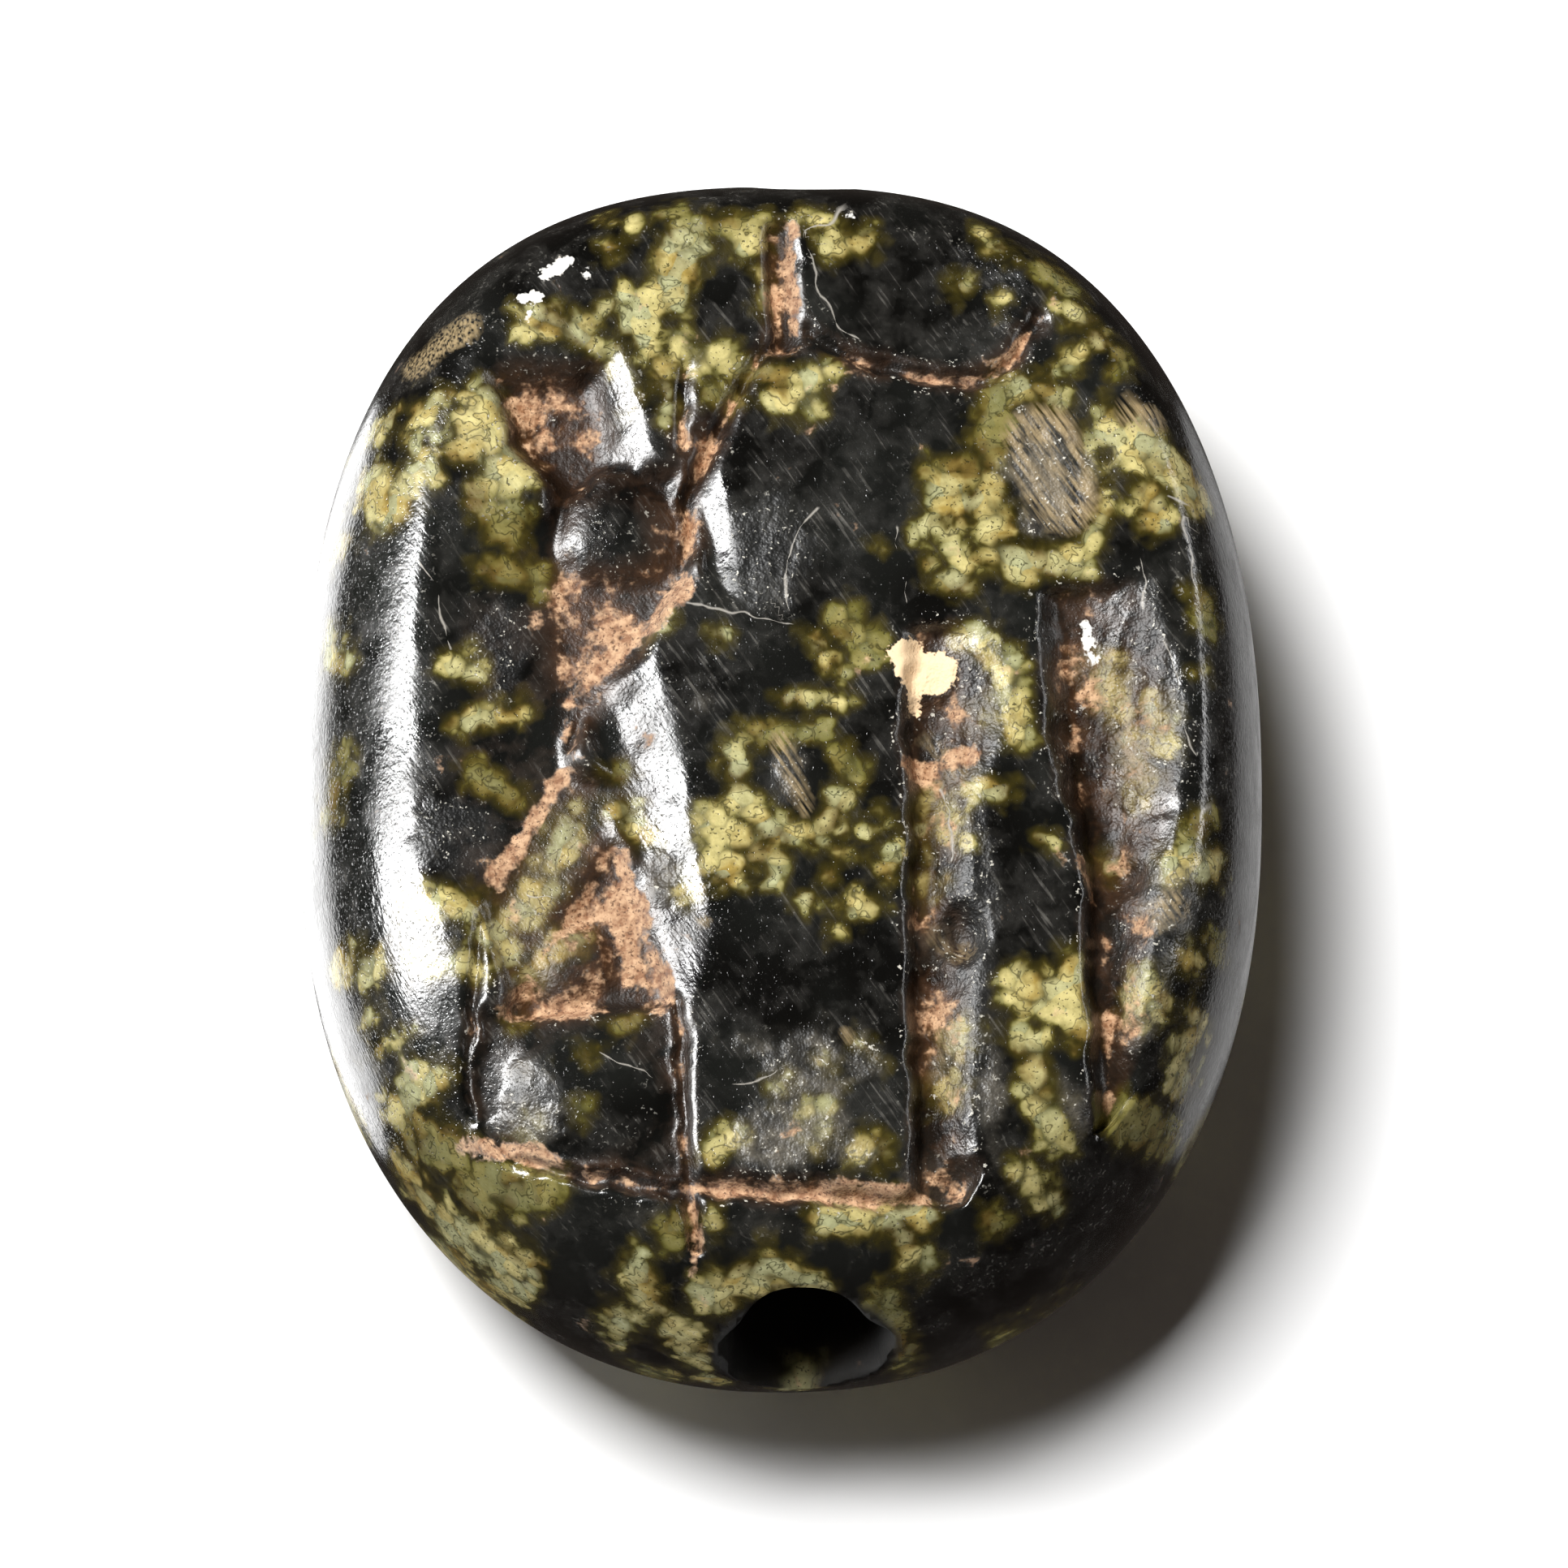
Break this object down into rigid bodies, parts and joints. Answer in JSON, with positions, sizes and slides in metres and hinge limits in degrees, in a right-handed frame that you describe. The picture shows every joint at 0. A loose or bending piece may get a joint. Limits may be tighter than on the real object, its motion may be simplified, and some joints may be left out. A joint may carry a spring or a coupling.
{
  "type": "engraved gem",
  "caption": "Oval stone seal bead, bored lengthwise, with a seated figure and uprights cut into its flat face and a rounded back.",
  "frame": {"origin": "middle of the small flat spot on the rounded back, under the middle of the outline", "axes": "+Z out of the engraved face, +Y along the bore towards the end with the scooped disc, +X towards the two uprights"},
  "size_m": [0.016, 0.02, 0.0082],
  "materials": {
    "serpentine": "handled polish, mottled dark green and yellow, earth left in the cuts"
  },
  "bodies": {
    "root": {"engraved_gem": "serpentine"}
  },
  "joints": []
}
